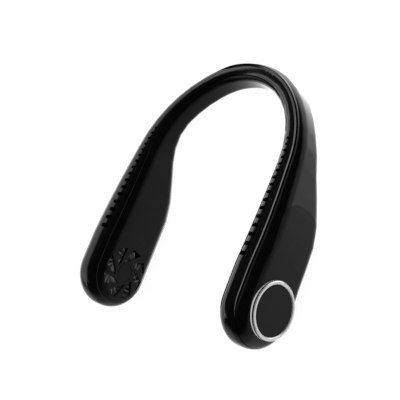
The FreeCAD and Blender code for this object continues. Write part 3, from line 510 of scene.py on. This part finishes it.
tree.links.new(blend.outputs[0], shown.inputs["Surface"])
floor.data.materials.append(ground)
print("floor", tuple(round(v, 2) for v in floor.dimensions))

# %% [markdown]
# ## The studio
# Three kinds of ray ask the world for light. The camera sees plain white, matt surfaces get an even
# dome, and reflections see the studio: a glow that is strongest towards the backdrop, thins out to
# the near side, and fades into a dark ceiling a little above the horizon, higher at the backdrop than
# in front. Steep rays downwards meet a table that is a little brighter.

# %% What reflections see
BACKDROP_AZIMUTH = math.radians(135)
NEAR_GLOW, BACKDROP_GLOW, GLOW_POWER = 0.27, 2.3, 3
BACKDROP_RISE = 0.2
TABLE_GLOW, TABLE_LEVEL, TABLE_FULL = 0.27, -0.45, -0.62
FADE_START, FADE_END, CEILING = -0.15, 0.25, 0.02


def ramp(tree, value, low, high, start=0, end=1, at=(0, 0)):
    """A smooth step from the start at the low value to the end at the high value."""
    made = node(tree, "ShaderNodeMapRange", at, interpolation_type="SMOOTHSTEP")
    for socket, number in (("From Min", low), ("From Max", high), ("To Min", start), ("To Max", end)):
        made.inputs[socket].default_value = number
    tree.links.new(value, made.inputs["Value"])
    return made.outputs["Result"]


world = bpy.data.worlds.new("studio")
bpy.context.scene.world = world
world.use_nodes = True
tree = world.node_tree
direction = node(tree, "ShaderNodeTexCoord", (-1600, 0))
level_part = node(tree, "ShaderNodeVectorMath", (-1400, 100), operation="MULTIPLY")
level_part.inputs[1].default_value = (1, 1, 0)
level_unit = node(tree, "ShaderNodeVectorMath", (-1200, 100), operation="NORMALIZE")
towards = node(tree, "ShaderNodeVectorMath", (-1000, 100), operation="DOT_PRODUCT")
towards.inputs[1].default_value = (math.cos(BACKDROP_AZIMUTH), math.sin(BACKDROP_AZIMUTH), 0)
heights = node(tree, "ShaderNodeSeparateXYZ", (-1200, -200))
tree.links.new(direction.outputs["Generated"], level_part.inputs[0])
tree.links.new(level_part.outputs[0], level_unit.inputs[0])
tree.links.new(level_unit.outputs[0], towards.inputs[0])
tree.links.new(direction.outputs["Generated"], heights.inputs[0])
backdrop, height = towards.outputs["Value"], heights.outputs["Z"]

half = maths(tree, "MULTIPLY_ADD", backdrop, 0.5, 0.5, at=(-800, 200))
narrowed = maths(tree, "POWER", half, GLOW_POWER, at=(-600, 200))
studio = maths(tree, "MULTIPLY_ADD", narrowed, BACKDROP_GLOW, NEAR_GLOW, at=(-400, 200))
under = ramp(tree, height, TABLE_LEVEL, TABLE_FULL, at=(-800, -400))
table = maths(tree, "MULTIPLY", under, TABLE_GLOW, at=(-600, -400))
lit = maths(tree, "ADD", studio, table, at=(-300, 0))
lowered = maths(tree, "MULTIPLY_ADD", backdrop, -BACKDROP_RISE, height, at=(-800, -100))
fade = ramp(tree, lowered, FADE_START, FADE_END, 1, CEILING, at=(-600, -100))
mirrored_light = maths(tree, "MULTIPLY", lit, fade, at=(-200, 100))
print("nodes for reflections:", len(tree.nodes))

# %% What the other rays see
DOME, WHITE = 0.8, (1, 1, 1, 1)

path = node(tree, "ShaderNodeLightPath", (-400, 500))
matt_or_gloss = node(tree, "ShaderNodeMix", (0, 200), data_type="FLOAT")
matt_or_gloss.inputs["A"].default_value = DOME
seen_white = node(tree, "ShaderNodeMix", (200, 200), data_type="FLOAT")
seen_white.inputs["B"].default_value = 1
tree.links.new(path.outputs["Is Glossy Ray"], matt_or_gloss.inputs["Factor"])
tree.links.new(mirrored_light, matt_or_gloss.inputs["B"])
tree.links.new(path.outputs["Is Camera Ray"], seen_white.inputs["Factor"])
tree.links.new(matt_or_gloss.outputs["Result"], seen_white.inputs["A"])
tree.links.new(seen_white.outputs["Result"], tree.nodes["Background"].inputs["Strength"])
tree.nodes["Background"].inputs["Color"].default_value = WHITE
print("world nodes:", len(tree.nodes))

# %% [markdown]
# ## The lamps
# Polished black shows every lamp as a bright shape, so soft boxes suit it better than bare bulbs. One
# stands behind the fan and gives the band a small glint. A long one beyond the far arm brightens an
# edge of each arm, the bars between the slots, the top of the band and the brighter of the two lines.
# A thin one nearer to the fan adds a little to the same edges and to the top of the band. Each is
# given by its place, its size and its brightness, and its power follows.

# %% Soft boxes
SOFT_BOXES = (("back soft box", (-0.5, 1.0, 0.3), (0.9, 0.4), 1.5),
              ("far wall light", (-0.34, 0.03, 0.2325), (0.9, 0.205), 0.9),
              ("near strip light", (-0.18, 0.0, 0.188), (0.6, 0.036), 0.7))


def soft_box(name, at, size, radiance):
    """A rectangular lamp that looks level towards the fan; its power follows from brightness and area."""
    lamp = bpy.data.lights.new(name, "AREA")
    lamp.shape = "RECTANGLE"
    lamp.size, lamp.size_y = size
    lamp.energy = radiance * math.pi * size[0] * size[1]
    box = bpy.data.objects.new(name, lamp)
    bpy.context.collection.objects.link(box)
    box.location = at
    box.visible_camera = False
    aim = Vector((0, at[1] / 2, at[2])) - Vector(at)
    box.rotation_euler = aim.to_track_quat("-Z", "Y").to_euler()
    print(name, round(lamp.energy, 2), "W")


for values in SOFT_BOXES:
    soft_box(*values)

# %% [markdown]
# ## Colour
# The picture is shown with the plain standard view.

# %% Finish
bpy.context.scene.view_settings.view_transform = "Standard"
